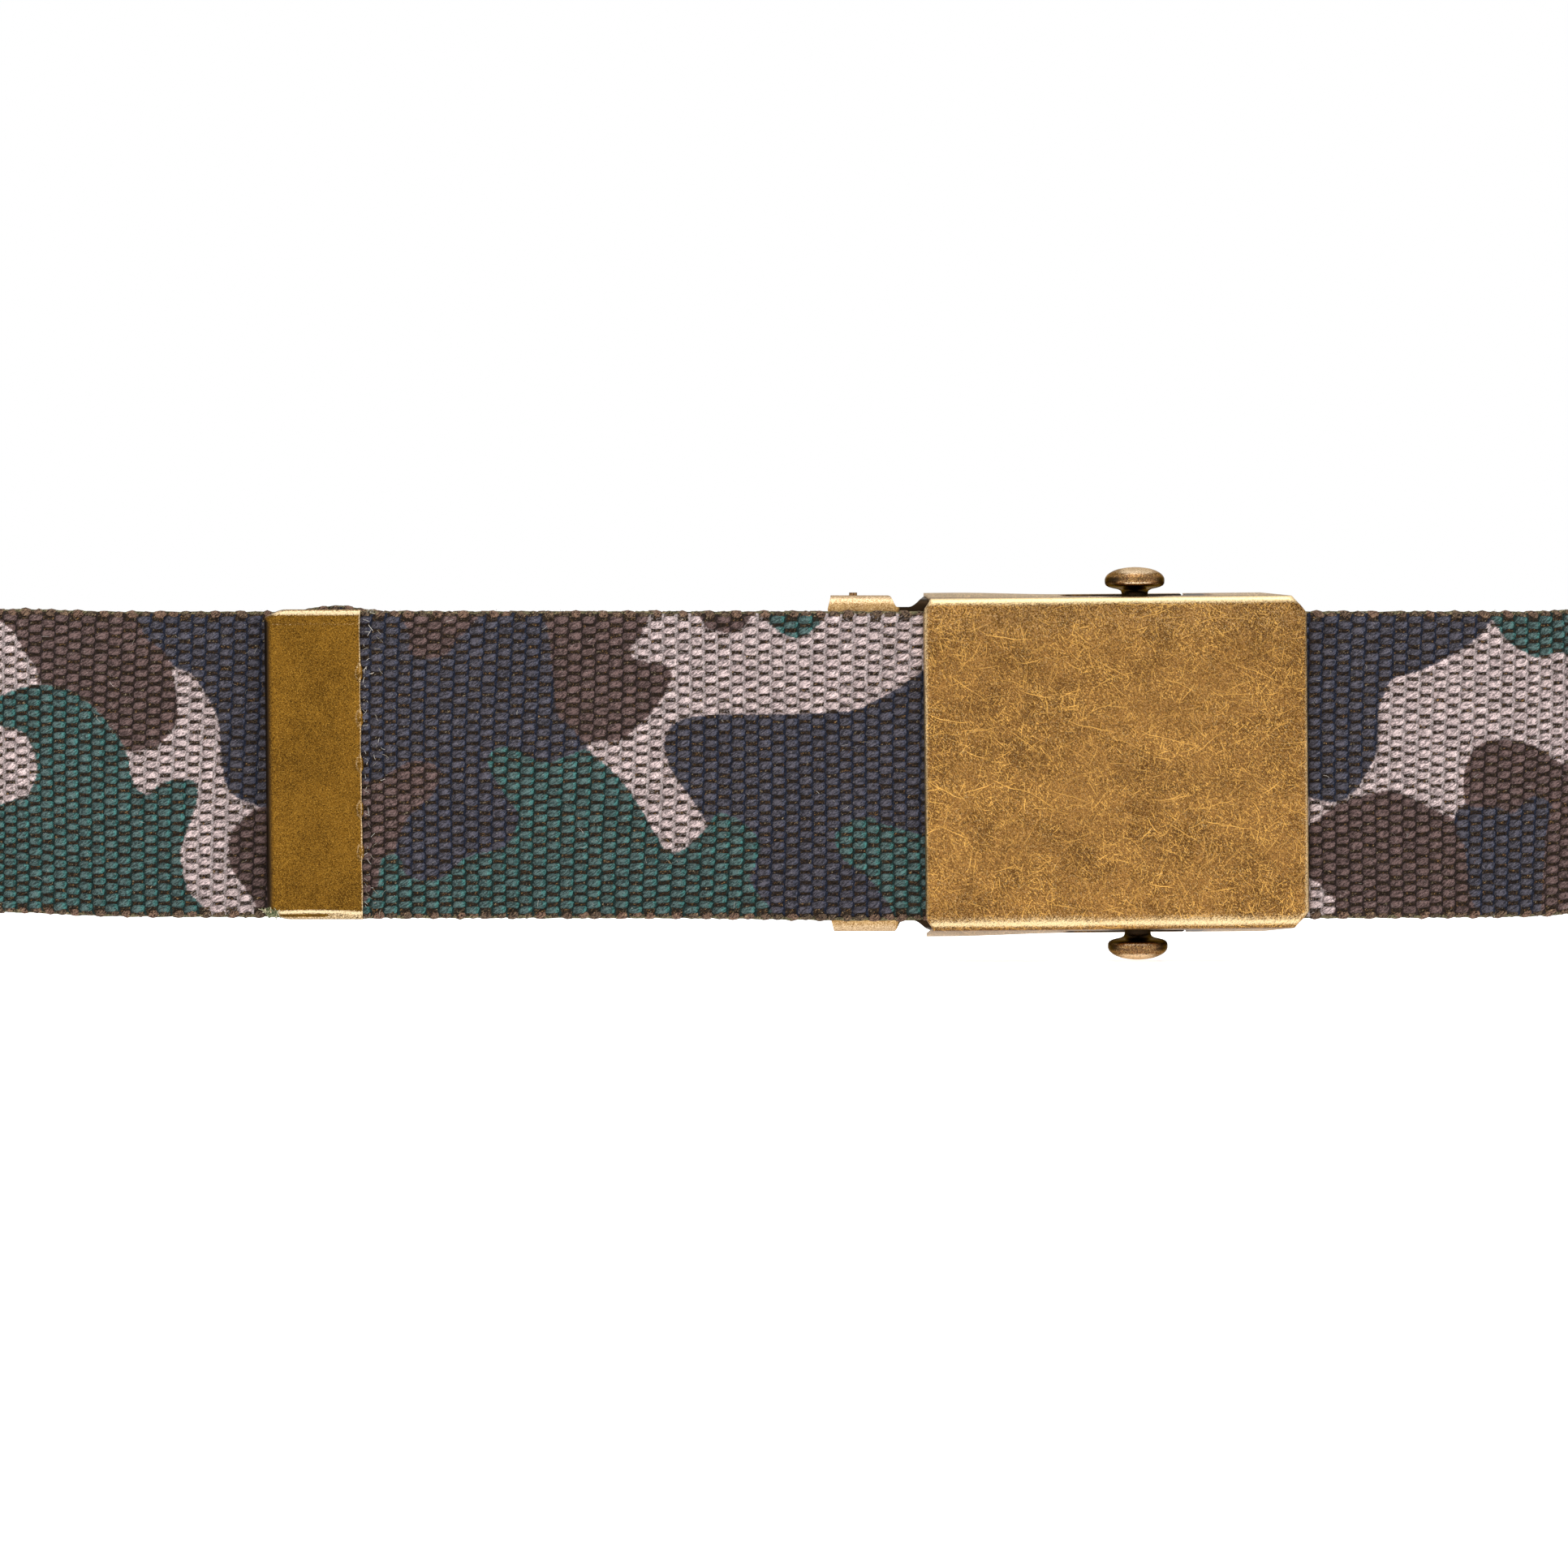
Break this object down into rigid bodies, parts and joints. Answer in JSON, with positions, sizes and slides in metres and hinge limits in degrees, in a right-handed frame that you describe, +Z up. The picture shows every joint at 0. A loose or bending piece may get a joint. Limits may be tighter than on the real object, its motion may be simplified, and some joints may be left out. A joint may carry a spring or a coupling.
{
  "type": "hunting belt",
  "caption": "Fastened web belt with a box buckle, sliding locking bar and folded strap tip, standing as a closed loop on its lower edge.",
  "frame": {"origin": "on the floor under the middle of the whole belt", "axes": "+X to the viewer's right along the straight front, +Y from the buckle towards the back of the waist, +Z up"},
  "size_m": [0.3126, 0.2482, 0.0483],
  "materials": {
    "webbing": "heavy cotton web, printed in four camouflage colours",
    "plate_brass": "tumbled antique brass with scratches and worn bends",
    "tip_brass": "smooth antique brass, darker in its hollows",
    "bar_brass": "dark bronzed brass, rubbed bright on the knobs",
    "clamp_brass": "light antique brass"
  },
  "bodies": {
    "root": {"webbing_strap": "webbing", "strap_tip": "tip_brass", "buckle_face": "plate_brass", "clamp_frame": "clamp_brass", "clamp_lever": "bar_brass", "locking_bar": "bar_brass"}
  },
  "joints": []
}
